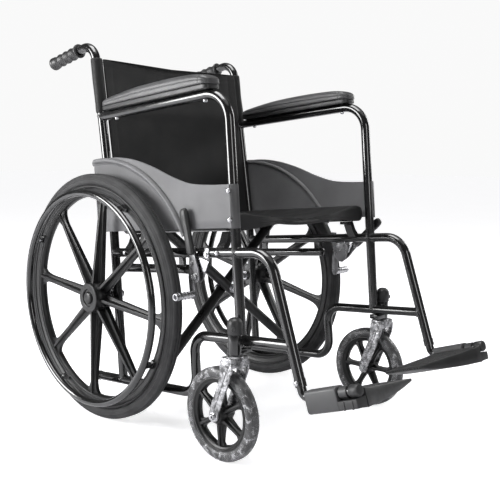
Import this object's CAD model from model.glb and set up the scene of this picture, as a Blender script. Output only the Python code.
"""A folding steel manual wheelchair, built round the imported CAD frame."""
import bpy
import bmesh
from math import ceil, copysign, cos, degrees, exp, pi, radians, sin, sqrt, tan
from mathutils import Matrix, Vector, noise


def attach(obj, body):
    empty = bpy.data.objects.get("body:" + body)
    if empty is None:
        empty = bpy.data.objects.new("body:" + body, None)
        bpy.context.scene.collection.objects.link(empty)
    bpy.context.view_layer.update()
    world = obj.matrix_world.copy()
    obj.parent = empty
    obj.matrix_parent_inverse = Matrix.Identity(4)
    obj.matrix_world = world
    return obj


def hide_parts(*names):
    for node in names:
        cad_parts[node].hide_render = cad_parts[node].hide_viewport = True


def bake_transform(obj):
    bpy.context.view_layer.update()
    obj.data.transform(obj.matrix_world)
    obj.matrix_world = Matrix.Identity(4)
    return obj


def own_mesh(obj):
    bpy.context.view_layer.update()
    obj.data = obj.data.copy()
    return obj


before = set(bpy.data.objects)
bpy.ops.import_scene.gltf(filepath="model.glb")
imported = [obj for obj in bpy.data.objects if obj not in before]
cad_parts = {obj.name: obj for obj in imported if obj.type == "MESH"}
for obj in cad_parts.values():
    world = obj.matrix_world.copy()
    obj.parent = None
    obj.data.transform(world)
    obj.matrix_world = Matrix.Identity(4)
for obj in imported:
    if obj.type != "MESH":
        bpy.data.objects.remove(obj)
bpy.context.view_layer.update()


def put(obj):
    """Put a new object in the scene."""
    bpy.context.scene.collection.objects.link(obj)


SIDES = ((-1, "right"), (1, "left"))

# ---------------------------------------------------------------- driving sizes, millimetres

ORIGIN, UP = (0, 0, 0), (0, 0, 1)

TILT = radians(5.25)        # the side frames lean back
AXLE_Y, AXLE_Z = 230.09, 300.0
REAR_X = 287.0
FRAME_X, TUBE_R, THIN_R = 242.0, 11.0, 9.5
CANE_Y, CANE_KINK_Z = -18.5, 180.0
HANDLE_CORNER, HANDLE_END = (13.0, 622.0), (192.1, 601.5)
ARM_Z, POST_Y, SEAT_RAIL_Z, STAY_Z = 440.5, -441.0, 104.5, 67.5
FRONT_RAIL_Z, LOW_RAIL_Z, DROP_Y, TAIL_Y = -79.4, -213.0, -292.0, 78.0
KNEE, TOE = (-534.0, 104.5), (-604.0, -180.5)
PIVOT_X, PIVOT_Z = 205.0, -170.0
SEAT_TUBE_X, SEAT_TUBE_Z, SEAT_FRONT_Y, SEAT_BACK_Y = 208.0, 160.0, -434.0, -30.0
BRACE_R, BRACE_FRONT_Y, BRACE_REAR_Y = 12.5, -166.0, -140.4
BRAKE_PIVOT, SHOE_PIVOT, SHOE_PEG = (-330.0, 85.0), (-310.0, 104.0), (-315.0, 43.0)
LEVER_BACK, LEVER_SWING, SHOE_SWING = radians(14.7), radians(61), radians(7.8)
CASTER_R, CASTER_X, STEM_Y, CASTER_TRAIL = 101.5, 270.0, -454.0, 36.0
SPOKE_PHASE = {"right": radians(5.6), "left": radians(12.5)}
TAB_PHASE = radians(23.5)
CASTER_PHASE = {"right": radians(30), "left": 0.0}


# ---------------------------------------------------------------- places

def lean(x, y, z):
    """A point in the side frames' leaning axes, measured from the rear axle."""
    c, s = cos(TILT), sin(TILT)
    return Vector((x, y * c + z * s + AXLE_Y, -y * s + z * c + AXLE_Z)) / 1000


def level(x, y, z):
    """A point measured from the rear axle, level with the floor."""
    return Vector((x, y + AXLE_Y, z + AXLE_Z)) / 1000


def on_wheel(side):
    return lambda x, y, z: Vector((side * (REAR_X + x), y + AXLE_Y, z + AXLE_Z)) / 1000


def on_caster(side):
    return lambda x, y, z: Vector((side * (CASTER_X + x), y + STEM_Y + AXLE_Y, z)) / 1000


def on_caster_wheel(side):
    here = on_caster(side)
    return lambda x, y, z: here(x, y + CASTER_TRAIL, z + CASTER_R)


HANGER = Vector((TOE[0] - KNEE[0], TOE[1] - KNEE[1])).normalized()
ROD = Vector((HANGER.y, -HANGER.x))


def on_foot_rod(side):
    """x outboard of the middle, along the hinge rod, up from it."""
    def place(x, along, up):
        return lean(side * x, TOE[0] + ROD.x * along - HANGER.x * up, TOE[1] + ROD.y * along - HANGER.y * up)
    return place


# ---------------------------------------------------------------- shapes, as (vertices, faces)

def bent(corners, radii, step=5.0):
    """Straight runs joined by round bends, one radius for each inner corner."""
    corners = [Vector(c) for c in corners]
    points = [corners[0]]
    for i in range(1, len(corners) - 1):
        into = (corners[i] - corners[i - 1]).normalized()
        out = (corners[i + 1] - corners[i]).normalized()
        turn = into.angle(out)
        radius = radii[i - 1]
        start = corners[i] - into * radius * tan(turn / 2)
        axis = into.cross(out).normalized()
        centre = start + axis.cross(into) * radius
        steps = max(1, ceil(degrees(turn) / step))
        for k in range(steps + 1):
            points.append(centre + Matrix.Rotation(turn * k / steps, 3, axis) @ (start - centre))
    points.append(corners[-1])
    return points


def loft(rings, closed=False, caps=True):
    n, m = len(rings[0]), len(rings)
    verts = [p for ring in rings for p in ring]
    faces = []
    for i in range(m if closed else m - 1):
        a, b = i * n, ((i + 1) % m) * n
        faces += [(a + j, a + (j + 1) % n, b + (j + 1) % n, b + j) for j in range(n)]
    if caps and not closed:
        faces.append(tuple(reversed(range(n))))
        faces.append(tuple(range((m - 1) * n, m * n)))
    return verts, faces


def sweep(points, radius, sides=24, closed=False, caps=True, section=None):
    """A tube along points. radius is a number, or a function of the fraction of the way along."""
    points = [Vector(p) for p in points]
    m = len(points)
    tangents = []
    for i in range(m):
        before = points[i - 1] if (closed or i) else points[i]
        after = points[(i + 1) % m] if (closed or i < m - 1) else points[i]
        tangents.append((after - before).normalized())
    side = tangents[0].orthogonal().normalized()
    if abs(tangents[0].x) < 0.9:
        side = (Vector((1, 0, 0)) - tangents[0] * tangents[0].x).normalized()
    rings = []
    for i in range(m):
        if i:
            side = (tangents[i - 1].rotation_difference(tangents[i]) @ side).normalized()
        up = tangents[i].cross(side)
        r = radius(i / (m - 1)) if callable(radius) else radius
        if section:
            rings.append([points[i] + side * a * r + up * b * r for a, b in section])
        else:
            rings.append([points[i] + (side * cos(q) + up * sin(q)) * r
                          for q in (2 * pi * k / sides for k in range(sides))])
    return loft(rings, closed, caps)


def revolve(profile, sides=48, start=0.0, ring=False):
    """A solid of revolution about x from [radius, x] points. ring=True closes the profile on itself."""
    rings = []
    for k in range(sides):
        a = start + 2 * pi * k / sides
        rings.append([Vector((x, r * cos(a), r * sin(a))) for r, x in profile])
    verts = [p for r in rings for p in r]
    n = len(profile)
    faces = []
    for i in range(sides):
        a, b = i * n, ((i + 1) % sides) * n
        for j in range(n if ring else n - 1):
            k = (j + 1) % n
            faces.append((a + j, a + k, b + k, b + j))
    return verts, faces


def far_half(profile, skip):
    """The other half of a symmetric [radius, x] profile, without its first points."""
    return [(r, -x) for r, x in reversed(profile[skip:])]


def prism(outline, low, high):
    """A flat plate: outline in (y, z), from x = low to x = high."""
    return loft([[Vector((x, y, z)) for y, z in outline] for x in (low, high)])


def block(low, high):
    (x0, y0, z0), (x1, y1, z1) = low, high
    return prism([(y0, z0), (y1, z0), (y1, z1), (y0, z1)], x0, x1)


def turned(shape, angle):
    """Turned about the x axis."""
    spin = Matrix.Rotation(angle, 3, "X")
    return [spin @ Vector(v) for v in shape[0]], shape[1]


def shifted(shape, x=0.0, y=0.0, z=0.0):
    return [Vector(v) + Vector((x, y, z)) for v in shape[0]], shape[1]


def along(shape, start, direction):
    """A shape made along +x from the origin, laid along a direction from start."""
    spin = Vector((1, 0, 0)).rotation_difference(Vector(direction).normalized())
    return [Vector(start) + spin @ Vector(v) for v in shape[0]], shape[1]


def weld(start, direction, other, r_in, r_out, bead=1.7):
    """The bead where a tube of r_in butts on the side of a tube of r_out that runs along other."""
    direction, other = Vector(direction).normalized(), Vector(other).normalized()
    w = direction.cross(other).normalized()
    v = w.cross(direction)
    points = []
    for k in range(40):
        a = 2 * pi * k / 40
        p = w * cos(a) * r_in + v * sin(a) * r_in
        reach = sqrt(max(r_out ** 2 - (r_in * cos(a)) ** 2, 0.0))
        wobble = 1 + 0.25 * noise.noise(Vector((k * 0.9, start[0], start[1])))
        points.append((Vector(start) + p + direction * reach, bead * wobble))
    return sweep([p for p, _ in points], lambda f: points[min(int(f * 39.5), 39)][1], 10, closed=True)


def dome(radius, height, flange=1.2, lip=2.5):
    """A round plastic end plug or a bolt's button head, along +x."""
    profile = [(0, -0.5), (radius + flange, -0.5), (radius + flange, lip)]
    profile += [((radius + flange) * cos(t), lip + height * sin(t))
                for t in (radians(a) for a in (20, 40, 60, 75))]
    profile.append((0, lip + height))
    return revolve(profile, 28)


def hex_head(radius, height, washer=0.0):
    """A hexagon bolt head or nut with its washer, along +x."""
    parts = []
    if washer:
        parts.append(revolve([(0, -0.4), (washer, -0.4), (washer, 1.1), (0, 1.1)], 28))
    ring = [(radius * cos(radians(60 * k)), radius * sin(radians(60 * k))) for k in range(6)]
    small = [(a * 0.86, b * 0.86) for a, b in ring]
    parts.append(loft([[Vector((0.6, a, b)) for a, b in ring],
                       [Vector((height - 1.1, a, b)) for a, b in ring],
                       [Vector((height, a, b)) for a, b in small]]))
    return join(parts)


def join(shapes):
    verts, faces = [], []
    for v, f in shapes:
        base = len(verts)
        verts += v
        faces += [tuple(i + base for i in face) for face in f]
    return verts, faces


# ---------------------------------------------------------------- pieces

def piece(name, shapes, material, body, replaces=(), place=None, bevel=0.0, bevel_steps=2,
          sharp=38.0, smooth=0):
    """One Blender object made of closed shapes, riding on a CAD body."""
    verts, faces = join(shapes)
    if place:
        verts = [place(*v) for v in verts]
    mesh = bpy.data.meshes.new(name)
    mesh.from_pydata([tuple(v) for v in verts], [], faces)
    bm = bmesh.new()
    bm.from_mesh(mesh)
    bmesh.ops.remove_doubles(bm, verts=bm.verts, dist=2e-6)
    bmesh.ops.dissolve_degenerate(bm, edges=bm.edges, dist=1e-6)
    bmesh.ops.recalc_face_normals(bm, faces=bm.faces)
    if bevel:
        edges = [e for e in bm.edges if len(e.link_faces) == 2 and e.calc_face_angle(0) > radians(32)]
        bmesh.ops.bevel(bm, geom=edges, offset=bevel / 1000, segments=bevel_steps, profile=0.6,
                        affect="EDGES", clamp_overlap=True)
    bm.to_mesh(mesh)
    bm.free()
    mesh.shade_smooth()
    mesh.set_sharp_from_angle(angle=radians(sharp))
    obj = bpy.data.objects.new(name, mesh)
    put(obj)
    mesh.materials.append(material)
    if smooth:
        mod = obj.modifiers.new("smooth", "SUBSURF")
        mod.levels = mod.render_levels = smooth
    if body:
        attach(obj, body)
    if replaces:
        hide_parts(*replaces)
    return obj


# ---------------------------------------------------------------- materials

def dial(node, values):
    """Set the named inputs of a node."""
    for name, value in values.items():
        node.inputs[name].default_value = value


def finish(name, dark, light, rough=(0.3, 0.45), metal=0.0, scale=30.0, bump=0.15, bump_scale=400.0,
        distance=0.0004, coat=0.0, specular=0.5, wear=None, weave=None, leather=None,
        contrast=(0.35, 0.65)):
    """A procedural finish: two tones of one colour, uneven roughness and a fine surface relief."""
    mat = bpy.data.materials.new(name)
    mat.use_nodes = True
    nodes, links = mat.node_tree.nodes, mat.node_tree.links
    shader = nodes["Principled BSDF"]
    dial(shader, {"Metallic": metal, "Specular IOR Level": specular, "Coat Weight": coat,
            "Coat Roughness": 0.08})
    where = nodes.new("ShaderNodeTexCoord").outputs["Object"]

    def noise_at(size, detail=4.0):
        tex = nodes.new("ShaderNodeTexNoise")
        dial(tex, {"Scale": size, "Detail": detail})
        links.new(where, tex.inputs["Vector"])
        return tex.outputs["Fac"]

    def ramp(source, low, high, at=(0.35, 0.65)):
        node = nodes.new("ShaderNodeValToRGB")
        node.color_ramp.elements[0].position, node.color_ramp.elements[1].position = at
        node.color_ramp.elements[0].color = (*low, 1)
        node.color_ramp.elements[1].color = (*high, 1)
        links.new(source, node.inputs["Fac"])
        return node.outputs["Color"]

    def grey(value):
        return value if isinstance(value, tuple) else (value, value, value * 1.03)

    patches = noise_at(scale)
    colour = ramp(patches, grey(dark), grey(light), contrast)
    if wear:
        edge = nodes.new("ShaderNodeNewGeometry").outputs["Pointiness"]
        mask = ramp(edge, (0, 0, 0), (1, 1, 1), (0.53, 0.62))
        mix = nodes.new("ShaderNodeMix")
        mix.data_type = "RGBA"
        links.new(mask, mix.inputs["Factor"])
        links.new(colour, mix.inputs["A"])
        dial(mix, {"B": (*grey(wear), 1)})
        colour = mix.outputs["Result"]
    links.new(colour, shader.inputs["Base Color"])
    spread = nodes.new("ShaderNodeMapRange")
    links.new(noise_at(scale * 2.7), spread.inputs["Value"])
    spread.inputs["From Min"].default_value, spread.inputs["From Max"].default_value = 0.3, 0.7
    spread.inputs["To Min"].default_value, spread.inputs["To Max"].default_value = rough
    links.new(spread.outputs["Result"], shader.inputs["Roughness"])

    relief = noise_at(bump_scale, 2.0)
    if leather:
        cells = nodes.new("ShaderNodeTexVoronoi")
        cells.feature = "DISTANCE_TO_EDGE"
        dial(cells, {"Scale": leather})
        links.new(where, cells.inputs["Vector"])
        relief = cells.outputs["Distance"]
    if weave:
        total = None
        for direction in ("X", "Z"):
            wave = nodes.new("ShaderNodeTexWave")
            wave.bands_direction = direction
            dial(wave, {"Scale": weave, "Distortion": 0.6, "Detail Scale": 3.0})
            links.new(where, wave.inputs["Vector"])
            if total is None:
                total = wave.outputs["Fac"]
            else:
                add = nodes.new("ShaderNodeMath")
                add.operation = "MULTIPLY"
                links.new(total, add.inputs[0])
                links.new(wave.outputs["Fac"], add.inputs[1])
                total = add.outputs["Value"]
        relief = total
    node = nodes.new("ShaderNodeBump")
    dial(node, {"Strength": bump, "Distance": distance})
    links.new(relief, node.inputs["Height"])
    links.new(node.outputs["Normal"], shader.inputs["Normal"])
    return mat


PAINT = finish("gloss_black_enamel", 0.004, 0.007, (0.10, 0.2), scale=14, bump=0.05, bump_scale=160,
               distance=0.0003, coat=0.6, wear=0.02)
BRACE_PAINT = finish("satin_black_enamel", 0.004, 0.007, (0.26, 0.38), scale=16, bump=0.08, bump_scale=200,
        wear=0.02)
ZINC = finish("bright_zinc", 0.45, 0.62, (0.2, 0.34), metal=1.0, scale=60, bump=0.1, bump_scale=500)
LINK = finish("dark_zinc", 0.05, 0.12, (0.25, 0.4), metal=0.8, scale=40, bump=0.12, bump_scale=500, wear=0.3)
WRAPPED = finish("zinc_under_film", 0.10, 0.5, (0.18, 0.4), metal=0.7, scale=75, bump=0.9, bump_scale=110,
                 distance=0.0015)
GUARD = finish("grey_moulded_plastic", 0.12, 0.15, (0.42, 0.55), scale=9, bump=0.25, bump_scale=900,
               distance=0.0003, specular=0.3, wear=0.2)
PLATE = finish("dark_grey_moulded_plastic", 0.03, 0.05, (0.4, 0.55), scale=12, bump=0.3, bump_scale=700,
               distance=0.0003, wear=0.09)
BLACK = finish("black_moulded_plastic", 0.010, 0.016, (0.38, 0.52), scale=20, bump=0.25, bump_scale=800,
               distance=0.0002, wear=0.04)
WHEEL = finish("black_wheel_nylon", 0.006, 0.011, (0.3, 0.42), scale=12, bump=0.12, bump_scale=300,
               distance=0.0002, specular=0.4, wear=0.03)
TYRE = finish("dark_grey_rubber", 0.022, 0.036, (0.55, 0.7), scale=25, bump=0.4, bump_scale=600,
              distance=0.0004, specular=0.3, wear=0.06)
CASTER = finish("grey_caster_rubber", 0.03, 0.06, (0.35, 0.5), scale=45, bump=0.3, bump_scale=500, wear=0.1)
VINYL = finish("black_coated_nylon", 0.006, 0.010, (0.5, 0.65), scale=6, bump=0.35, weave=420.0,
               distance=0.0003, specular=0.3, wear=0.02)
SEAT_VINYL = finish("black_grained_vinyl", 0.007, 0.012, (0.42, 0.56), scale=7, bump=0.22, leather=520.0,
                    distance=0.0003, specular=0.3, wear=0.02)
PAD = finish("grey_grained_vinyl", 0.045, 0.07, (0.34, 0.46), scale=9, bump=0.2, leather=560.0,
             distance=0.0003, wear=0.1)


def clear_film(name, thin, thick, scale):
    """Crinkled clear packing film: the folds show, the rest is see-through."""
    mat = finish(name, 0.6, 0.8, (0.08, 0.2), scale=scale, bump=0.8, bump_scale=scale * 3, distance=0.002)
    nodes, links = mat.node_tree.nodes, mat.node_tree.links
    folds = nodes.new("ShaderNodeTexNoise")
    dial(folds, {"Scale": scale, "Detail": 6.0, "Distortion": 1.2})
    links.new(nodes.new("ShaderNodeTexCoord").outputs["Object"], folds.inputs["Vector"])
    seen = nodes.new("ShaderNodeMapRange")
    seen.inputs["From Min"].default_value, seen.inputs["From Max"].default_value = 0.48, 0.68
    seen.inputs["To Min"].default_value, seen.inputs["To Max"].default_value = thin, thick
    links.new(folds.outputs["Fac"], seen.inputs["Value"])
    links.new(seen.outputs["Result"], nodes["Principled BSDF"].inputs["Alpha"])
    return mat


FILM = clear_film("clear_packing_film", 0.0, 0.42, 60)

# ---------------------------------------------------------------- camera, floor and light

CAMERA_AT = Vector((-1.35856, -1.29814, 0.63704))
CAMERA_FORWARD = Vector((0.71993, 0.68390, -0.11820))
CAMERA_UP = Vector((0.07735, 0.09018, 0.99292))
LENS_MM = 54.468

camera = bpy.data.objects.new("camera", bpy.data.cameras.new("camera"))
camera.data.lens = LENS_MM
camera.data.sensor_width = 36.0
camera.data.clip_start = 0.05
across = CAMERA_FORWARD.cross(CAMERA_UP).normalized()
upward = across.cross(CAMERA_FORWARD).normalized()
look = Matrix((across, upward, -CAMERA_FORWARD.normalized())).transposed().to_4x4()
look.translation = CAMERA_AT
camera.matrix_world = look
put(camera)
bpy.context.scene.camera = camera
bpy.context.scene.view_settings.view_transform = "Standard"

floor_mesh = bpy.data.meshes.new("floor")
FLOOR_HALF = 30.0
FLOOR_GLOW = 0.62                 # lifts the floor to the backdrop, for camera rays only
floor_mesh.from_pydata([(-FLOOR_HALF, -FLOOR_HALF, 0), (FLOOR_HALF, -FLOOR_HALF, 0),
                        (FLOOR_HALF, FLOOR_HALF, 0), (-FLOOR_HALF, FLOOR_HALF, 0)], [], [(0, 1, 2, 3)])
floor = bpy.data.objects.new("floor", floor_mesh)
put(floor)
pale = finish("pale_floor", 0.83, 0.86, (0.7, 0.85), scale=1.5, bump=0.02)
glow = pale.node_tree.nodes.new("ShaderNodeMath")
glow.operation = "MULTIPLY"
glow.inputs[1].default_value = FLOOR_GLOW
pale.node_tree.links.new(pale.node_tree.nodes.new("ShaderNodeLightPath").outputs["Is Camera Ray"],
        glow.inputs[0])
pale.node_tree.links.new(glow.outputs["Value"],
        pale.node_tree.nodes["Principled BSDF"].inputs["Emission Strength"])
pale.node_tree.nodes["Principled BSDF"].inputs["Emission Color"].default_value = (1, 1, 1, 1)
floor_mesh.materials.append(pale)

BACKDROP_LIGHT, ROOM_LIGHT = 0.95, 0.12
world = bpy.data.worlds.new("studio")
bpy.context.scene.world = world
world.use_nodes = True
wn, wl = world.node_tree.nodes, world.node_tree.links
backdrop = wn["Background"]
dial(backdrop, {"Color": (1, 1, 1, 1), "Strength": BACKDROP_LIGHT})
room = wn.new("ShaderNodeBackground")
dial(room, {"Color": (1, 1, 1, 1), "Strength": ROOM_LIGHT})
seen = wn.new("ShaderNodeMixShader")
wl.new(wn.new("ShaderNodeLightPath").outputs["Is Camera Ray"], seen.inputs["Fac"])
wl.new(room.outputs["Background"], seen.inputs[1])
wl.new(backdrop.outputs["Background"], seen.inputs[2])
wl.new(seen.outputs["Shader"], wn["World Output"].inputs["Surface"])


def softbox(name, at, aim, size, power):
    data = bpy.data.lights.new(name, "AREA")
    data.shape = "RECTANGLE"
    data.size, data.size_y = size
    data.energy = power
    lamp = bpy.data.objects.new(name, data)
    lamp.location = at
    lamp.rotation_euler = (Vector(aim) - Vector(at)).to_track_quat("-Z", "Y").to_euler()
    put(lamp)


softbox("top_light", (-0.5, 0.2, 3.0), (0, 0, 0.4), (1.6, 1.6), 60)
softbox("left_light", (-2.7, 1.75, 1.15), (0, 0, 0.45), (1.6, 1.5), 135)
softbox("front_light", (-1.0, -3.4, 1.6), (0, 0, 0.4), (0.9, 1.6), 26)
softbox("right_light", (3.0, -0.6, 1.6), (0, 0, 0.5), (0.8, 1.6), 30)
sky = bpy.data.lights.new("sky_light", "SUN")
sky.energy, sky.angle = 0.9, radians(70)
put(bpy.data.objects.new("sky_light", sky))

# ---------------------------------------------------------------- side frames


def mirrored(side, place=lean):
    """Shapes are made for the chair's left, with x outboard, and mirrored for its right."""
    return lambda x, y, z: place(side * x, y, z)


def bolt_at(point, direction, radius=6.0, height=4.5, washer=8.5, kind=hex_head):
    shape = kind(radius, height, washer) if kind is hex_head else kind(radius, height)
    return along(shape, point, direction)


def cane_y(z):
    """The back cane's middle line, above its kink."""
    if z < CANE_KINK_Z:
        return CANE_Y
    return CANE_Y + (HANDLE_CORNER[0] - CANE_Y) * (z - CANE_KINK_Z) / (HANDLE_CORNER[1] - CANE_KINK_Z)


def side_frame(side, tag):
    body = f"{tag}_frame"
    here = mirrored(side)

    def p(y, z):
        return (FRAME_X, y, z)

    up, back = (0, 0, 1), (0, 1, 0)
    cane = bent([p(CANE_Y, LOW_RAIL_Z), p(CANE_Y, CANE_KINK_Z), p(*HANDLE_CORNER), p(*HANDLE_END)], [200, 42])
    boss = along(revolve([(0, -14), (13.5, -14), (15, -12.5), (15, 13.5), (13.5, 15), (0, 15)], 32),
                 (FRAME_X, 0, 0), (1, 0, 0))
    gusset = block((FRAME_X - 5, CANE_Y, -26), (FRAME_X + 5, 6, 26))
    piece(f"cane_{tag}", [sweep(cane, TUBE_R), boss, gusset,
                          weld(p(CANE_Y, LOW_RAIL_Z), up, back, TUBE_R, TUBE_R)],
          PAINT, body, [f"back_cane_{tag}"], here, sharp=50)

    arm = bent([p(0, ARM_Z), p(POST_Y, ARM_Z), p(POST_Y, FRONT_RAIL_Z)], [62])
    piece(f"arm_{tag}", [sweep(arm, TUBE_R), weld(p(0, ARM_Z), (0, -1, 0), (0, 0.07, 1), TUBE_R, TUBE_R),
                         weld(p(POST_Y, FRONT_RAIL_Z), up, back, TUBE_R, TUBE_R)],
          PAINT, body, [f"arm_tube_{tag}"], here, sharp=50)

    rail = [sweep([p(CANE_Y, SEAT_RAIL_Z), p(-230, SEAT_RAIL_Z), p(POST_Y, SEAT_RAIL_Z)], TUBE_R),
            weld(p(CANE_Y, SEAT_RAIL_Z), (0, -1, 0), up, TUBE_R, TUBE_R),
            weld(p(POST_Y, SEAT_RAIL_Z), (0, 1, 0), up, TUBE_R, TUBE_R),
            sweep([p(-62, STAY_Z), p(-170, STAY_Z), p(-282, STAY_Z)], TUBE_R - 0.5)]
    rail += [along(dome(9.5, 3), p(-62, STAY_Z), (0, 1, 0)), along(dome(9.5, 3), p(-282, STAY_Z), (0, -1, 0))]
    for y in (-75, -268):
        rail.append(block((FRAME_X - 3, y - 9, STAY_Z), (FRAME_X + 3, y + 9, SEAT_RAIL_Z)))
    saddle = [(238, 100), (246, 106), (246, 112), (232, 128), (223, 148.3), (197, 148.3), (197, 142),
            (214, 139), (222, 120)]
    for y in (-392, -72):
        rail.append(loft([[Vector((x, b, z)) for x, z in saddle] for b in (y - 11, y + 11)]))
    piece(f"rail_{tag}", rail, PAINT, body, [f"seat_rail_{tag}"], here, sharp=50)

    hanger_end = (TOE[0] - HANGER.x * 22, TOE[1] - HANGER.y * 22)
    hanger = bent([p(POST_Y, SEAT_RAIL_Z), p(*KNEE), p(*hanger_end)], [56])
    piece(f"hanger_{tag}", [sweep(hanger, TUBE_R),
            weld(p(POST_Y, SEAT_RAIL_Z), (0, -1, 0), up, TUBE_R, TUBE_R),
            sweep([p(hanger_end[0] - HANGER.x * 16, hanger_end[1] - HANGER.y * 16), p(*hanger_end)],
            TUBE_R + 0.9)], PAINT, body, [f"front_hanger_{tag}"], here, sharp=50)

    start_y = KNEE[0] + (FRONT_RAIL_Z - KNEE[1]) * HANGER.x / HANGER.y
    lower = bent([p(start_y, FRONT_RAIL_Z), p(DROP_Y, FRONT_RAIL_Z), p(DROP_Y, LOW_RAIL_Z),
            p(TAIL_Y, LOW_RAIL_Z)], [40, 44])
    brace_y = BRACE_REAR_Y if side < 0 else BRACE_FRONT_Y
    lug_y = brace_y + BRACE_R + 0.3
    lug = [(249, LOW_RAIL_Z), (246, LOW_RAIL_Z + 12)]
    lug += [(PIVOT_X + 14 * cos(a), PIVOT_Z + 14 * sin(a))
            for a in (radians(d) for d in range(50, 281, 23))]
    lug += [(226, LOW_RAIL_Z + 5), (233, LOW_RAIL_Z)]
    piece(f"lower_{tag}", [
        sweep(lower, TUBE_R),
        weld(p(start_y, FRONT_RAIL_Z), (0, 1, 0), (0, -HANGER.x, -HANGER.y), TUBE_R, TUBE_R),
        loft([[Vector((x, b, z)) for x, z in lug] for b in (lug_y, lug_y + 5)]),
    ], PAINT, body, [f"lower_rail_{tag}"], here, sharp=50)
    piece(f"rail_plug_{tag}", [along(dome(TUBE_R, 3.5), p(TAIL_Y, LOW_RAIL_Z), (0, 1, 0))],
          BLACK, body, (), here, sharp=50)

    foot = bent([p(TOE[0] - HANGER.x * 24, TOE[1] - HANGER.y * 24), p(*TOE),
                 p(TOE[0] + ROD.x * 138, TOE[1] + ROD.y * 138)], [15])
    knob = [(TOE[0] + ROD.x * a, TOE[1] + ROD.y * a) for a in (119, 139)]
    piece(f"foot_rod_{tag}", [sweep(foot, THIN_R)], PAINT, body, [f"foot_tube_{tag}"], here,
            sharp=50)
    piece(f"foot_knuckle_{tag}", [
        along(revolve([(0, 0), (11.2, 0), (12.4, 1.5), (12.4, 17.5), (10.8, 20.5), (6, 21.5), (0, 21.5)], 32),
              p(*knob[0]), (0, ROD.x, ROD.y))],
        BLACK, body, (), here, sharp=50)

    screws = [bolt_at(p(cane_y(ARM_Z) + TUBE_R - 0.4, ARM_Z), (0, 1, 0), 5.0, 4.0, 7.0),
            bolt_at((FRAME_X, -60, ARM_Z - TUBE_R + 0.4), (0, 0, -1), 3.6, 2.6, kind=dome),
            bolt_at((FRAME_X, -372, ARM_Z - TUBE_R + 0.4), (0, 0, -1), 3.6, 2.6, kind=dome),
            bolt_at((FRAME_X + TUBE_R + 0.4, hanger_end[0] - HANGER.x * 9, hanger_end[1] - HANGER.y * 9),
            (1, 0, 0), 3.8, 2.4, kind=dome), bolt_at((FRAME_X + TUBE_R - 0.3, -392, SEAT_RAIL_Z), (1, 0, 0),
            4.2, 3.0, kind=dome), bolt_at((FRAME_X + TUBE_R - 0.3, -72, SEAT_RAIL_Z), (1, 0, 0), 4.2, 3.0,
            kind=dome), ]
    piece(f"frame_screws_{tag}", screws, ZINC, body, (), here, sharp=50)
    head, nut = brace_y - BRACE_R - 0.3, brace_y + BRACE_R + 5.6
    piece(f"brace_foot_bolt_{tag}", [
        along(hex_head(8, 6.5, 9.5), (PIVOT_X, head, PIVOT_Z), (0, -1, 0)),
        along(hex_head(8, 7, 9.5), (PIVOT_X, nut, PIVOT_Z), (0, 1, 0)),
        sweep([(PIVOT_X, head - 3, PIVOT_Z), (PIVOT_X, nut + 10, PIVOT_Z)], 4.6, 16)],
        ZINC, body, [f"pivot_bolt_{tag}"], here, sharp=40)
    axle = [(0, 214), (7, 214), (9, 216), (9, 228), (6, 228), (6, 306), (0, 306)]
    piece(f"axle_{tag}", [along(revolve([(r, x) for r, x in axle], 28), (0, 0, 0), (1, 0, 0)),
                          along(hex_head(9.5, 8, 12), (FRAME_X + 15, 0, 0), (1, 0, 0)),
                          along(hex_head(9.5, 8, 12), (FRAME_X - 14, 0, 0), (-1, 0, 0))],
          ZINC, body, [f"rear_axle_{tag}"], here, sharp=40)


# ---------------------------------------------------------------- armrests, guards and grips

def spline(points, x):
    """A smooth curve through (x, y) points with rising x."""
    if x <= points[0][0]:
        return points[0][1]
    for i in range(len(points) - 1):
        (x0, y0), (x1, y1) = points[i], points[i + 1]
        if x <= x1:
            m0 = (y1 - points[i - 1][1]) / (x1 - points[i - 1][0]) if i else (y1 - y0) / (x1 - x0)
            m1 = ((points[i + 2][1] - y0) / (points[i + 2][0] - x0) if i + 2 < len(points)
                  else (y1 - y0) / (x1 - x0))
            t, h = (x - x0) / (x1 - x0), x1 - x0
            return ((2 * t ** 3 - 3 * t ** 2 + 1) * y0 + (t ** 3 - 2 * t ** 2 + t) * h * m0
                    + (-2 * t ** 3 + 3 * t ** 2) * y1 + (t ** 3 - t ** 2) * h * m1)
    return points[-1][1]


PAD_BASE = ARM_Z + TUBE_R + 8.6
PAD_FRONT, PAD_BACK = -402.0, -32.0
PAD_CROWN = [(-402, 12), (-392, 19), (-370, 24.5), (-330, 28), (-250, 30), (-150, 28), (-60, 19), (-40, 15),
             (-32, 11)]
PAD_SECTION = [(0.93, 0.0), (0.99, 0.06), (1.0, 0.2), (1.0, 0.38), (0.965, 0.415), (0.965, 0.435),
        (1.0, 0.47), (0.985, 0.62), (0.93, 0.79), (0.8, 0.91), (0.58, 0.975), (0.3, 0.998), (0.0, 1.0)]


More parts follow.
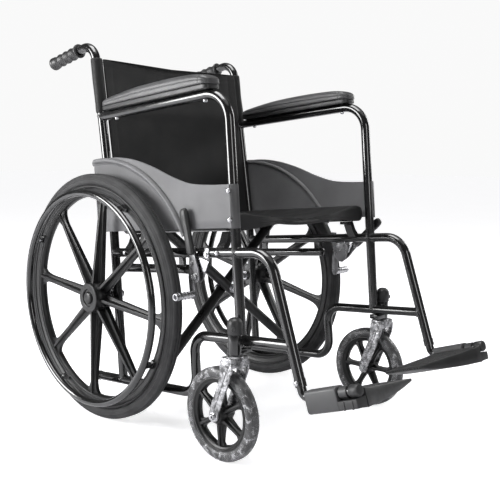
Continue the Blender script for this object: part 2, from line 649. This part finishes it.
def arm_pad(side, tag):
    body = f"{tag}_frame"
    here = mirrored(side)
    stations = [0, 1.2, 3, 6, 10, 15, 21, 23, 25, 27, 32]
    stations += list(range(46, 345, 16)) + [350, 356, 361, 365, 368, 369.4, 370]
    rings = []
    for d in stations:
        y = PAD_FRONT + d
        front = sqrt(max(0.0, 1 - ((22 - d) / 22) ** 2)) if d < 22 else 1.0
        rear_d = PAD_BACK - y
        rear = sqrt(max(0.0, 1 - ((12 - rear_d) / 12) ** 2)) if rear_d < 12 else 1.0
        tuck = 1 - 0.035 * exp(-((d - 25) / 2.2) ** 2)
        half = 26 * (0.42 + 0.58 * front) * (0.6 + 0.4 * rear) * tuck
        height = spline(PAD_CROWN, y) * (0.97 + 0.03 * front) * (2 * tuck - 1)
        ring = []
        for u, v in PAD_SECTION:
            ring.append(Vector((FRAME_X + half * u, y, PAD_BASE + height * v)))
        for u, v in reversed(PAD_SECTION[:-1]):
            ring.append(Vector((FRAME_X - half * u, y, PAD_BASE + height * v)))
        rings.append(ring)
    pad = piece(f"arm_cushion_{tag}", [loft(rings)], PAD, body, [f"arm_pad_{tag}"], here, sharp=60,
            smooth=1)
    outline = [(-22, PAD_FRONT + 16)] + [(-22 + 10 * (1 - cos(t)), PAD_FRONT + 16 - 14 * sin(t))
                                       for t in (radians(a) for a in (30, 60, 90))]
    outline += [(-x, y) for x, y in reversed(outline)] + [(22, PAD_BACK - 2), (-22, PAD_BACK - 2)]
    board = loft([[Vector((FRAME_X + x, y, z)) for x, y in outline]
            for z in (ARM_Z + TUBE_R - 1.0, PAD_BASE - 0.2)])
    piece(f"arm_board_{tag}", [board], BLACK, body, (), here, bevel=1.4)


GUARD_TOP = [(-451, 247), (-380, 250), (-320, 257), (-262, 276), (-200, 302), (-130, 324), (-60, 335),
        (26, 334)]


def skirt_guard(side, tag):
    body = f"{tag}_frame"
    here = mirrored(side)
    ys = [-444 + (26 + 444) * k / 60 for k in range(61)]
    rings = []
    for y in ys:
        top = spline(GUARD_TOP, y)
        if y > 12:
            top -= 14 * (1 - sqrt(max(0.0, 1 - ((y - 12) / 14) ** 2)))
        low = 157.0
        ring = [(253.4, low + 1), (254, low), (256, low), (256.8, low + 1)]
        ring += [(256.8, low + (top - low) * f) for f in (0.2, 0.4, 0.6, 0.8)]
        ring += [(257.4, top - 4), (257.4, top - 1.2), (256.2, top), (254, top), (252.9, top - 1.2),
                (252.9, top - 4)]
        ring += [(253.4, low + (top - low) * f) for f in (0.8, 0.6, 0.4, 0.2)]
        rings.append([Vector((x, y, z)) for x, z in ring])
    panel = loft(rings)

    lip_points, count = [], 46
    for k in range(count + 1):
        a = radians(85 + (154 - 85) * k / count)
        lip_points.append((257.5, 331 * cos(a), 331 * sin(a)))
    section = []
    for k in range(16):
        a = 2 * pi * k / 16
        section.append((cos(a) * 1.25, sin(a)))

    def lip_radius(f):
        end = min(f, 1 - f) * count / 1.6
        return 6.6 * (sqrt(1 - (1 - min(end, 1)) ** 2) * 0.85 + 0.15)

    lip = sweep(lip_points, lip_radius, section=section)
    apron_rings = []
    for k in range(count + 1):
        a = radians(85 + (154 - 85) * k / count)
        apron_rings.append([Vector((x, r * cos(a), r * sin(a)))
                            for x, r in ((254, 331), (254, 322), (257.8, 321), (260, 324), (261, 331))])
    piece(f"guard_{tag}", [panel, lip, loft(apron_rings)], GUARD, body,
            [f"skirt_guard_{tag}"], here, sharp=42)

    wrap = []
    for z, grow in ((155.5, -1.0), (156.5, 0), (200, 0), (246, 0), (247.5, -1.0)):
        ring = []
        for r, angles in ((14.6 + grow, range(-84, 106, 10)), (11.4, range(104, -86, -10))):
            ring += [Vector((FRAME_X + r * cos(radians(a)), POST_Y - r * sin(radians(a)), z))
                     for a in angles]
        wrap.append(ring)
    piece(f"guard_clip_{tag}", [loft(wrap)], PLATE, body, (), here, sharp=50)
    bolts = [bolt_at((FRAME_X + 14.0, POST_Y, z), (1, 0, 0), 4.6, 3.4, kind=dome) for z in (234, 174)]
    piece(f"guard_bolts_{tag}", bolts, ZINC, body, (), here, sharp=50)


def hand_grip(side, tag):
    body = f"{tag}_frame"
    here = mirrored(side)
    corner, end = Vector((FRAME_X, *HANDLE_CORNER)), Vector((FRAME_X, *HANDLE_END))
    axis = (end - corner).normalized()
    profile = [(11.3, 0.0), (16.4, 0.0), (17.6, 1.2), (17.6, 4.2), (16.2, 6.2)]
    for k in range(4):
        x = 8 + 25.5 * k
        profile += [(15.4, x + 1), (14.0, x + 5), (13.5, x + 11), (14.0, x + 17), (15.4, x + 21.5),
                (16.0, x + 23.5), (15.6, x + 25)]
    profile += [(15.4, 113), (16.4, 115), (16.4, 118.5), (14.6, 121.4), (9, 122.4), (0, 122.6)]
    profile.append((0, 116))
    profile.append((11.3, 116))
    grip = along(revolve(profile, 40, ring=True), end - axis * 116, axis)
    piece(f"grip_{tag}", [grip], BLACK, body, [f"hand_grip_{tag}"], here, sharp=55)


# ---------------------------------------------------------------- rear wheels

def wheel_spoke(stations, web_t=4.6, rib_half=3.4):
    """One spoke along +z: a flat web with a deep rib, out of [radius, web half, rib out, rib in]."""
    rings = []
    for r, web, out, inn in stations:
        f = 2.2
        quarter = [(web, web_t), (rib_half + f, web_t), (rib_half + 0.6, web_t + 0.6), (rib_half, web_t + f)]
        ring = list(quarter)
        ring += [(rib_half, max(out, web_t + f + 0.2)), (-rib_half, max(out, web_t + f + 0.2))]
        ring += [(-t, x) for t, x in reversed(quarter)]
        ring += [(-t, -x) for t, x in quarter]
        ring += [(-rib_half, -max(inn, web_t + f + 0.2)), (rib_half, -max(inn, web_t + f + 0.2))]
        ring += [(t, -x) for t, x in reversed(quarter)]
        rings.append([Vector((x, t, r)) for t, x in ring])
    return loft(rings)


RIM_R = 272.0


def rear_wheel(side, tag):
    body = f"rear_wheel_{tag}"
    here = on_wheel(side)
    tyre = [(300, -7.5), (300, -4.4), (298.7, -3.9), (298.7, -3.1), (300, -2.6), (300, 2.6), (298.7, 3.1),
            (298.7, 3.9), (300, 4.4), (300, 7.5), (299.2, 9.6), (297.4, 11.4), (294.6, 13.0), (294.0, 13.0),
            (293.2, 13.9), (290.5, 15.4), (288.4, 16.1), (287.6, 17.0), (286.2, 17.0), (285.6, 16.4),
            (281, 17.0), (277, 16.6), (274.6, 15.4), (273.4, 13.6), (272.3, 13.4)]
    tyre += far_half(tyre, 10)
    piece(f"tyre_{tag}", [revolve(tyre, 128, ring=True)], TYRE, body, [f"rear_tyre_{tag}"],
            here, sharp=30)

    rim = [(RIM_R, -14.6), (RIM_R, 14.6), (270.6, 15.6), (267.6, 15.6), (266.4, 14.6), (265.6, 12.6),
            (262.4, 12.2), (261, 11.4), (258.6, 10.6), (256.4, 10.6), (255.4, 9.2), (254.2, 9.0),
            (253.2, 10.0), (250.4, 10.0), (248.6, 8.6), (247, 5.4), (246, 3.0)]
    rim += far_half(rim, 2)
    shapes = [revolve(rim, 128, ring=True)]
    stations = [(20, 15, 22.5, 15.5), (32, 13.6, 21.5, 15.2), (48, 12.6, 20.2, 14.6),
            (80, 11.6, 18.2, 13.6), (120, 10.8, 15.8, 12.4), (160, 10.0, 13.4, 11.2),
            (196, 9.4, 11.4, 10.2), (212, 9.8, 10.4, 9.6), (224, 11.4, 9.8, 9.2), (233, 14.2, 9.4, 9.0),
            (240, 18.6, 9.2, 9.0), (245, 24.0, 9.2, 9.0), (249.5, 31.0, 9.0, 9.0)]
    spoke = wheel_spoke(stations)
    phase = SPOKE_PHASE[tag]
    for k in range(8):
        a = phase + k * pi / 4
        shapes.append(turned(spoke, a - pi / 2))
    hub = [(0, -18.5), (24, -18.5), (27, -17), (30, -12.5), (37, -10), (38, 0), (38, 12), (36.5, 19.5),
            (35.6, 21), (35.6, 30.2), (34.2, 31.8), (22, 32), (20.8, 31.2), (20.2, 28.2), (15.2, 28.2),
            (14.4, 31.6), (13.2, 34), (10.2, 35), (0, 35.4)]
    shapes.append(revolve(hub, 64))
    for k in range(8):
        a = phase + (k + 0.5) * pi / 4
        rib = loft([[Vector((x, t, r)) for t, x in ((-1.6, -9), (1.6, -9), (1.6, d), (-1.6, d))]
                    for r, d in ((30, 20), (36, 15), (41, 9))])
        shapes.append(turned(rib, a - pi / 2))
    piece(f"mag_{tag}", shapes, WHEEL, body, [f"mag_wheel_{tag}"], here, bevel=0.7,
            bevel_steps=2, sharp=34)

    radius, out, tube_r = 255.0, 40.0, 8.4
    ring = [(radius + tube_r * cos(2 * pi * k / 20), out + tube_r * sin(2 * pi * k / 20))
            for k in range(20)]
    shapes = [revolve(ring, 144, ring=True)]
    for k in range(4):
        a = phase + TAB_PHASE + k * pi / 2 - pi / 2
        tab = loft([[Vector((x, t, r)) for t, r in ((-w, 255 - d), (w, 255 - d), (w, 255 + d), (-w, 255 + d))]
                    for x, w, d in ((8, 10, 5), (15.2, 10, 5), (18, 7.2, 3.4), (33, 6.4, 3.4), (40, 6.0, 5))])
        shapes.append(turned(tab, a))
    piece(f"handrim_{tag}", shapes, PAINT, body, [f"pushrim_{tag}"], here, sharp=45)
    screws = []
    for k in range(4):
        a = phase + TAB_PHASE + k * pi / 2 - pi / 2
        inner = shifted(along(dome(3.2, 1.8, 0.3, 0.8), (0, 0, 0), (0, 0, -1)), x=26, z=251.4)
        screws.append(turned(inner, a))
    piece(f"handrim_screws_{tag}", screws, ZINC, body, (), here, sharp=45)


# ---------------------------------------------------------------- casters

def caster(side, tag):
    frame_body, swivel, roll = f"{tag}_frame", f"caster_swivel_{tag}", f"caster_roll_{tag}"
    here = on_caster(side)
    at_wheel = on_caster_wheel(side)

    housing = along(revolve([(0, 236), (13.4, 236), (14.6, 237.4), (14.6, 281), (0, 281)], 36), ORIGIN, UP)
    arm_x = FRAME_X + TUBE_R - CASTER_X
    web = block((arm_x - 2, -9, 249), (-10, 9, 276))
    shelf = block((arm_x - 20, -13, 238), (-6, 13, 248.5))
    piece(f"stem_house_{tag}", [housing, web, shelf], PAINT, frame_body,
          [f"caster_housing_{tag}"], here, bevel=1.2, sharp=40)
    cap = along(revolve([(0, 280), (15.2, 280), (16.2, 281.4), (16.2, 302), (15.2, 306.5), (12.4, 311),
            (8, 314), (3, 315), (0, 315)], 36), ORIGIN, UP)
    ear = along(revolve([(0, 0), (5.6, 0), (5.6, 3.4), (4.6, 4.6), (0, 4.6)], 24), (11.5, -8.5, 292),
            (0.8, -0.6, 0))
    piece(f"stem_cap_{tag}", [cap, ear], BLACK, frame_body, (), here, sharp=45)

    crown = [(-26, -15), (-20, -18), (20, -18), (26, -15), (26, 15), (20, 18), (-20, 18), (-26, 15)]
    top = loft([[Vector((x, y, z)) for x, y in crown] for z in (213.5, 232.6)])
    collar = along(revolve([(0, 231), (19, 231), (19, 233.4), (15, 235.2), (0, 235.2)], 36), ORIGIN, UP)
    legs = []
    outline = [(17, 224), (-17, 224), (-17, 208), (-14.5, 196), (-8, 180), (23, 105)]
    outline += [(CASTER_TRAIL + 13 * cos(a), CASTER_R + 13 * sin(a))
                for a in (radians(d) for d in (190, 215, 240, 265, 290, 315, 340, 5))]
    outline += [(46, 116), (19, 184), (17, 196)]
    for low, high in ((-27, -22.6), (22.6, 27)):
        legs.append(prism(outline, low, high))
        rib_x = (low - 1.6, low + 1) if low < 0 else (high - 1, high + 1.6)
        legs.append(prism([(4, 205), (-4, 205), (CASTER_TRAIL - 5, CASTER_R + 18),
                (CASTER_TRAIL + 4, CASTER_R + 18)], *rib_x))
    piece(f"fork_{tag}", [top, collar] + legs, WRAPPED, swivel, [f"caster_fork_{tag}"], here,
            bevel=1.5, sharp=40)
    ends = [along(hex_head(7.2, 6.5, 9.2), (27 * s, CASTER_TRAIL, CASTER_R), (s, 0, 0)) for s in (-1, 1)]
    ends.append(sweep([(-26, CASTER_TRAIL, CASTER_R), (26, CASTER_TRAIL, CASTER_R)], 4, 16))
    ends.append(sweep([(26, CASTER_TRAIL, CASTER_R), (35.5, CASTER_TRAIL, CASTER_R)], 3.6, 16))
    piece(f"caster_bolt_{tag}", ends, ZINC, swivel, [f"caster_axle_{tag}"], here, sharp=40)

    tyre = [(101.5, -5.5), (101.5, 5.5), (100.6, 8.4), (98.0, 11.2), (94, 13.2), (89, 14), (84, 13.6),
            (81.5, 12.6), (80.6, 11.6), (79.2, 11.4)]
    tyre += far_half(tyre, 1)
    piece(f"caster_tread_{tag}", [revolve(tyre, 96, ring=True)], CASTER, roll,
          [f"caster_tyre_{tag}"], at_wheel, sharp=35)
    film = []
    for k in range(150):
        a = 2 * pi * k / 150
        ring = []
        for m in range(22):
            b = 2 * pi * m / 22
            fold = noise.noise(Vector((cos(a) * 5.5, sin(a) * 5.5, 2.2 * cos(b) + side * 9)))
            fold += 0.5 * noise.noise(Vector((cos(a) * 14, sin(a) * 14, 4 * sin(b))))
            x = (15.4 + 1.9 * fold) * copysign(abs(sin(b)) ** 0.8, sin(b))
            r = 89.6 + (12.4 + 1.9 * fold) * copysign(abs(cos(b)) ** 0.8, cos(b))
            r = min(r, 101.9)
            ring.append(Vector((x, r * cos(a), r * sin(a))))
        film.append(ring)
    piece(f"film_tyre_{tag}", [loft(film, closed=True)], FILM, roll, (), at_wheel, sharp=70)
    rim = [(79.1, -12), (79.1, 12), (77.4, 12.6), (75.4, 12.2), (74.2, 10.4), (72, 9.2), (69.6, 8.6),
            (67.6, 5.6), (67, 2)]
    rim += far_half(rim, 2)
    shapes = [revolve(rim, 96, ring=True)]
    stations = [(8, 8.6, 15, 15), (18, 7.6, 14, 14), (30, 6.6, 12.4, 12.4), (44, 6.0, 10.6, 10.6),
                (54, 6.6, 9.6, 9.6), (61, 8.6, 9, 9), (66, 12.4, 8.6, 8.6), (70, 17.5, 8.2, 8.2)]
    spoke = wheel_spoke(stations, web_t=3.8, rib_half=2.8)
    for k in range(6):
        shapes.append(turned(spoke, CASTER_PHASE[tag] + k * pi / 3 - pi / 2))
    shapes.append(revolve([(4.4, -21), (15.6, -21), (17, -19.6), (18.5, -12), (18.5, 12), (17, 19.6),
            (15.6, 21), (4.4, 21)], 48, ring=True))
    piece(f"caster_mag_{tag}", shapes, WHEEL, roll, [f"caster_wheel_{tag}"], at_wheel,
            bevel=0.5, sharp=34)


# ---------------------------------------------------------------- brakes

def brake(side, tag):
    body = f"{tag}_frame"
    here = mirrored(side, level)
    pivot, shoe_pivot = BRAKE_PIVOT, SHOE_PIVOT
    outline = [(-354, 118), (-350, 98), (-344, 80), (-334, 71), (-320, 72), (-306, 88), (-300, 104),
            (-299, 119), (-326, 125)]
    shapes = [prism(outline, 253.5, 257.3)]
    rail_z = SEAT_RAIL_Z * cos(TILT) + 326 * sin(TILT)
    for y in (-350, -306):
        shapes.append(block((250, y - 7, rail_z - 14), (254.5, y + 7, rail_z + 14)))
    flange = [(-362, 120), (-352, 98), (-330, 92), (-300, 121), (-326, 128)]
    piece(f"brake_flange_{tag}", [prism(flange, 257.6, 259.2)], ZINC, body, (), here, bevel=0.5,
            sharp=40)
    piece(f"brake_plate_{tag}", shapes, LINK, body, [f"brake_bracket_{tag}"], here, bevel=1.0,
            sharp=40)
    bolts = [bolt_at((254.2, y, rail_z), (1, 0, 0), 5.2, 3.8, 7.4) for y in (-350, -306)]
    piece(f"brake_bolts_{tag}", bolts, ZINC, body, (), here, sharp=40)

    engaged = side > 0
    swing = -LEVER_BACK + (LEVER_SWING if engaged else 0)
    spin = Matrix.Rotation(swing, 3, "X")

    def on_lever(x, y, z):
        v = spin @ Vector((0, y, z))
        return level(side * x, pivot[0] + v.y, pivot[1] + v.z)

    arm = [(-10, -6), (-6, -12), (4, -13), (11, -6), (12, 12), (9, 36), (7.5, 64), (-7.5, 64), (-9, 36),
            (-12, 12)]
    shapes = [prism(arm, 263, 267.4), sweep([(255, 0, 0), (266, 0, 0)], 4, 16),
              along(hex_head(6.6, 5, 8.4), (267.2, 0, 0), (1, 0, 0)),
              along(hex_head(4.6, 3.6, 6), (267.2, 4, 30), (1, 0, 0))]
    piece(f"brake_arm_{tag}", shapes, LINK, f"brake_lever_{tag}", [f"brake_lever_{tag}"], on_lever,
          bevel=0.8, sharp=40)
    rings = []
    grip = [(48, 0.2), (48.6, 0.72), (50, 0.84), (56, 0.92), (66, 0.98), (80, 0.92), (96, 0.9), (114, 0.96),
            (130, 1.04), (140, 1.02), (146, 0.9), (149.6, 0.66), (151, 0.35)]
    for z, f in grip:
        ring = []
        for k in range(24):
            a = 2 * pi * k / 24
            c, s = cos(a), sin(a)
            ring.append(Vector((269 + 7.2 * f * abs(c) ** 0.7 * (1 if c > 0 else -1),
                                10.6 * f * abs(s) ** 0.7 * (1 if s > 0 else -1), z)))
        rings.append(ring)
    piece(f"brake_handle_{tag}", [loft(rings)], BLACK, f"brake_lever_{tag}",
          [f"brake_grip_{tag}"], on_lever, sharp=60, smooth=1)

    spin_shoe = Matrix.Rotation(SHOE_SWING if engaged else 0.0, 3, "X")

    def on_shoe(x, y, z):
        v = spin_shoe @ Vector((0, y, z))
        return level(side * x, shoe_pivot[0] + v.y, shoe_pivot[1] + v.z)

    peg = (SHOE_PEG[0] - shoe_pivot[0], SHOE_PEG[1] - shoe_pivot[1])
    link = [(-7, 7), (-9, -4), (-8, -24), (peg[0] - 9, peg[1] + 2), (peg[0] - 6, peg[1] - 9),
            (peg[0] + 3, peg[1] - 10), (peg[0] + 9, peg[1] - 2), (9, -24), (8, -4), (6, 7), (0, 9)]
    tube_profile = [(0, 0), (8, 0), (8, 51.6), (7.4, 52.4), (5.6, 52.4), (5.2, 51.6), (5.2, 40), (0, 40)]
    piece(f"brake_link_{tag}", [prism(link, 258.2, 261.8)], LINK, f"brake_shoe_{tag}", (), on_shoe,
          bevel=0.4, sharp=40)
    shapes = [along(revolve(tube_profile, 36), (260.5, *peg), (1, 0, 0)),
              along(dome(5.6, 0.8, 0.6, 0.4), (261.7, 0, 0), (1, 0, 0)),
              along(dome(3.4, 0.6, 0.6, 0.4), (261.7, -2, -22), (1, 0, 0)),
              sweep([(255, 0, 0), (261, 0, 0)], 4, 16)]
    for x in (272, 282, 292, 302):
        shapes.append(along(revolve([(7.4, 0), (8.7, 0.8), (8.7, 2.4), (7.4, 3.2)], 36, ring=True),
                (x, *peg), (1, 0, 0)))
    piece(f"brake_peg_{tag}", shapes, ZINC, f"brake_shoe_{tag}", [f"brake_shoe_{tag}"], on_shoe,
            bevel=0.4, sharp=40)


# ---------------------------------------------------------------- footrests

PLATE_TIP_X, PLATE_FRONT, PLATE_SWEEP = 18.0, 138.0, 33.0
LEFT_PLATE_TILT = radians(4.3)      # the left plate rests a little higher


def footplate(side, tag):
    body = f"footplate_{tag}"
    rod = on_foot_rod(side)
    tilt = LEFT_PLATE_TILT if side > 0 else 0.0

    def place(x, a, u):
        dx, c, sn = x - FRAME_X, cos(tilt), sin(tilt)
        return rod(FRAME_X + dx * c + u * sn, a, u * c - dx * sn)

    section = []
    for cx, cz, first in ((250.4, 7.4, 0), (233.4, 7.4, 90), (233.4, -28, 180), (250.4, -26, 270)):
        section += [(cx + 6.5 * cos(radians(first + d)), cz + 6.5 * sin(radians(first + d)))
                    for d in (0, 30, 60, 90)]
    rings = []
    for a, f in ((14, 0.93), (15.2, 0.985), (17, 1.0), (54, 1.0), (89, 1.0), (90.8, 0.985), (92, 0.94)):
        rings.append([Vector((FRAME_X + (x - FRAME_X) * f, a, -10 + (z + 10) * f)) for x, z in section])
    piece(f"foot_block_{tag}", [loft(rings)], PLATE, body, (), place, sharp=44)

    def top(x):
        return spline([(PLATE_TIP_X, -18.5), (90, -11.5), (200, -2), (226, 2)], x)

    def bottom(x):
        return spline([(PLATE_TIP_X, -23.5), (80, -31), (150, -35), (226, -35)], x)

    xs = [PLATE_TIP_X, PLATE_TIP_X + 1.5, PLATE_TIP_X + 5] + [30 + 16.25 * k for k in range(13)]
    rings = []
    for x in xs:
        end = sqrt(max(0.0, 1 - (1 - min((x - PLATE_TIP_X) / 5, 1)) ** 2))
        front = PLATE_FRONT - PLATE_SWEEP * (225 - x) / (225 - PLATE_TIP_X) - 7 * (1 - end)
        rear = 14 + 7 * (1 - end)
        middle, half = (top(x) + bottom(x)) / 2, (top(x) - bottom(x)) / 2 * (0.35 + 0.65 * end)
        t, b = middle + half, middle - half
        rings.append([Vector((x, a, u)) for a, u in ((rear, b + 1.5), (rear + 0.5, b + 0.5),
                (rear + 1.5, b), ((rear + front) / 2, b), (front - 1.5, b), (front - 0.5, b + 0.5),
                (front, b + 1.5), (front, t - 1.5), (front - 0.5, t - 0.5), (front - 1.5, t),
                ((rear + front) / 2, t), (rear + 1.5, t), (rear + 0.5, t - 0.5), (rear, t - 1.5))])
    nose = [(226, -33.5), (257, -31), (257, -14), (240, -13), (226, -13)]
    shapes = [loft(rings), loft([[Vector((x, a, u)) for x, u in nose] for a in (92.2, 137)])]
    for a in (106, 126):
        shapes.append(loft([[Vector((x, a + d, u)) for d,
                u in ((-1.6, -32), (1.6, -32), (1.6, -15), (-1.6, -15))] for x in (256, 258.2)]))
    for k in range(9):
        x = 58 + 19 * k
        shapes.append(loft([[Vector((x + dx, a, top(x) + du)) for dx,
                du in ((-2, -1), (2, -1), (1.2, 0.9), (-1.2, 0.9))]
                for a in (24, PLATE_FRONT - PLATE_SWEEP * (225 - x) / (225 - PLATE_TIP_X) - 8)]))
    piece(f"foot_plate_{tag}", shapes, BLACK, body, [f"footplate_{tag}"], place, bevel=0.4,
            sharp=40)
    bush = [along(revolve([(9.8, -9), (11.9, -9), (11.9, 9), (9.8, 9)], 32, ring=True), (FRAME_X, 105, 0),
            (0, 1, 0))]
    piece(f"rod_bush_{tag}", bush, BLACK, body, [f"foot_bush_{tag}"], place, sharp=40)


# ---------------------------------------------------------------- cross brace

TUBE_END_Y = SEAT_FRONT_Y + 9     # the seat tubes end just behind the seat's front edge

def cross_brace():
    for name, side, y in (("rear", -1, BRACE_REAR_Y), ("front", 1, BRACE_FRONT_Y)):
        body = f"brace_{name}"
        foot, head = Vector((side * PIVOT_X, y, PIVOT_Z)), Vector((-side * SEAT_TUBE_X, y, SEAT_TUBE_Z))
        axis = (head - foot).normalized()
        points = [foot - axis * 13.5, foot - axis * 11, foot - axis * 6, foot, foot + axis * 120,
                foot + axis * 262, foot + axis * 400, head - axis * 4]
        radii = [10.6, 12.0, 12.5, 12.5, 12.5, 12.5, 12.5, 12.5]
        bar = sweep(points, lambda f: radii[min(int(round(f * 7)), 7)], 28)
        bead = weld(head, -axis, (0, 1, 0), BRACE_R, TUBE_R + 1.6, 1.8)
        piece(f"brace_bar_{name}", [bar, bead], BRACE_PAINT, body, [f"brace_{name}"], lean,
                sharp=50)
        end = "left" if side < 0 else "right"
        x = -side * SEAT_TUBE_X
        tube = sweep([(x, TUBE_END_Y, SEAT_TUBE_Z), (x, -230, SEAT_TUBE_Z), (x, SEAT_BACK_Y, SEAT_TUBE_Z)],
                TUBE_R)
        piece(f"sling_tube_{end}", [tube], PAINT, body, [f"seat_tube_{end}"], lean, sharp=50)
        plugs = [along(dome(TUBE_R, 1.5, 0.1, 1.0), (x, TUBE_END_Y, SEAT_TUBE_Z), (0, -1, 0)),
                 along(dome(TUBE_R, 3.5, 0.6), (x, SEAT_BACK_Y, SEAT_TUBE_Z), (0, 1, 0))]
        piece(f"sling_plugs_{end}", plugs, BLACK, body, (), lean, sharp=50)
    middle_z = PIVOT_Z + (SEAT_TUBE_Z - PIVOT_Z) * PIVOT_X / (PIVOT_X + SEAT_TUBE_X)
    front, back = BRACE_FRONT_Y - BRACE_R - 0.3, BRACE_REAR_Y + BRACE_R + 0.3
    parts = [along(hex_head(9, 7, 11.5), (0, front, middle_z), (0, -1, 0)),
             along(hex_head(9, 8, 11.5), (0, back, middle_z), (0, 1, 0)),
             sweep([(0, front - 2, middle_z), (0, back + 12, middle_z)], 4.8, 16)]
    piece("brace_middle_bolt", parts, ZINC, "brace_rear", ["centre_bolt"], lean, sharp=40)


# ---------------------------------------------------------------- upholstery



SEAT_CREST, SEAT_HALF = 190.5, 208.0
SEAT_SAG, SEAT_SAG_LOSS = 29.0, 11.0   # the middle's drop at the front, less at the back


def seat_top(x, y):
    """The seat's upper face: slung between its tubes, with the pad's slight fullness."""
    f = (y - SEAT_FRONT_Y) / (SEAT_BACK_Y - 4 - SEAT_FRONT_Y)
    across = 1 - (x / SEAT_HALF) ** 2
    sag = (SEAT_SAG - SEAT_SAG_LOSS * f) * max(across, -0.2)
    ripple = 0.7 * noise.noise(Vector((x * 0.012, y * 0.016, 3.1)))
    return SEAT_CREST - sag + ripple


def seat():
    rings = []
    length = SEAT_BACK_Y - 4 - SEAT_FRONT_Y
    stations = [0, 0.6, 2.5, 6, 11, 17, 19, 21, 30] + list(range(48, 372, 18)) + [380, 388, 391, 394, 398,
            399.5, 400]
    for d in stations:
        y = SEAT_FRONT_Y + d * length / 400
        front = exp(-(d / 9.0) ** 2)
        nose = 1 - sqrt(max(0.0, 1 - (1 - min(d / 7.0, 1)) ** 2))
        stitch = 0.9 * exp(-((d - 19) / 1.2) ** 2) + 0.9 * exp(-((d - 391) / 1.2) ** 2)
        tail = 1 - sqrt(max(0.0, 1 - (1 - min((400 - d) / 4.0, 1)) ** 2))
        ring = []
        xs = [-205, -190, -170, -140, -105, -70, -35, 0, 35, 70, 105, 140, 170, 190, 205]
        seam = {-170: 0.5, 170: 0.5}
        ring += [(-203, 148.4), (-213, 149.6), (-220.5, 155), (-223, 164), (-222.4, 175), (-218.6, 183.5)]
        ring += [(x, seat_top(x, y) - stitch - seam.get(x, 0) - 6.5 * nose - 3.5 * tail) for x in xs]
        ring += [(218.6, 183.5), (222.4, 175), (223, 164), (220.5, 155), (213, 149.6), (203, 148.4)]
        ring += [(204, 150.4), (212.6, 152.2), (218.6, 157), (220.4, 165), (217, 172.4), (208, 173.4)]
        under = [190, 170, 140, 105, 70, 35, 0, -35, -70, -105, -140, -170, -190]
        for x in under:
            thick = 8.0 + 4.0 * front * (1 - abs(x / 208) ** 6)
            z = seat_top(x, y) - thick + 6.5 * nose * 0.4
            ring.append((x, max(z, 0)))
        ring += [(-208, 173.4), (-217, 172.4), (-220.4, 165), (-218.6, 157), (-212.6, 152.2), (-204, 150.4)]
        rings.append([Vector((x, y, z)) for x, z in ring])
    sling = piece("seat_cover", [loft(rings)], SEAT_VINYL, None, ["seat_sling"], lean, sharp=60,
                  smooth=1)
    return sling


BACK_LOW, BACK_TOP = 178.0, 583.0


def back_front_y(x, z):
    """The back panel's front face, slung rearwards between the canes."""
    f = (z - BACK_LOW) / (BACK_TOP - BACK_LOW)
    across = 1 - (x / 231) ** 2
    sag = (15 + 9 * sin(pi * min(f * 1.05, 1))) * across
    ripple = 0.9 * noise.noise(Vector((x * 0.011, z * 0.010, 8.2)))
    lead = -9.5 if z < 452 else -13.0
    return cane_y(z) + lead + sag + ripple


def back():
    rings = []
    zs = [178, 179, 181, 200, 203, 206] + list(range(222, 560, 17)) + [562, 565, 568, 579, 582, 583]
    xs = [-229, -226, -220, -205, -202, -199] + list(range(-180, 181, 24)) + [199, 202, 205, 220, 226, 229]
    for z in zs:
        dip = 9.0 if z > 400 else 0.0
        ring = []
        edge = 1 - min((z - BACK_LOW) / 2.5, (BACK_TOP - z) / 2.5, 1)
        stitched = 0.8 if z in (203, 565) else 0
        for x in xs:
            s = 0.8 if abs(x) == 202 else 0
            zz = z - dip * (1 - (x / 229) ** 2) * ((z - 400) / 183 if z > 400 else 0)
            ring.append(Vector((x, back_front_y(x, z) + stitched + s + 1.6 * edge, zz)))
        for x in reversed(xs):
            s = 0.8 if abs(x) == 202 else 0
            zz = z - dip * (1 - (x / 229) ** 2) * ((z - 400) / 183 if z > 400 else 0)
            ring.append(Vector((x, back_front_y(x, z) + 5.2 - stitched - s - 1.6 * edge, zz)))
        rings.append(ring)
    panel = piece("back_panel", [loft(rings)], VINYL, "right_frame", ["back_upholstery"], lean,
            sharp=60, smooth=1)
    for side, tag in SIDES:
        here = mirrored(side)
        rings = []
        zs = [449, 450, 452, 468, 471, 474, 490, 505, 520, 535, 550, 565, 578, 582, 583.5, 584]
        for z in zs:
            end = 1 - min((z - 449) / 2.0, (584 - z) / 3.0, 1)
            groove = 0.5 if z == 471 else 0
            ring = []
            for k in range(28):
                a = 2 * pi * k / 28
                c, s = cos(a), sin(a)
                r = 13.6 - 1.4 * end - groove
                r += 1.2 * noise.noise(Vector((c * 1.3, s * 1.3, z * 0.022 + side)))
                r += 3.0 * max(0.0, -c) ** 3
                ring.append(Vector((FRAME_X + r * c, cane_y(z) + r * s * 1.05, z)))
            rings.append(ring)
        sleeve = loft(rings)
        piece(f"back_sleeve_{tag}", [sleeve], VINYL, f"{tag}_frame", (), here, sharp=60, smooth=1)
    return panel


for side, tag in SIDES:
    side_frame(side, tag)
    arm_pad(side, tag)
    skirt_guard(side, tag)
    hand_grip(side, tag)
    rear_wheel(side, tag)
    caster(side, tag)
    brake(side, tag)
    footplate(side, tag)

cross_brace()
seat_cover = seat()
back_panel = back()

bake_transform(seat_cover)
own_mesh(back_panel)
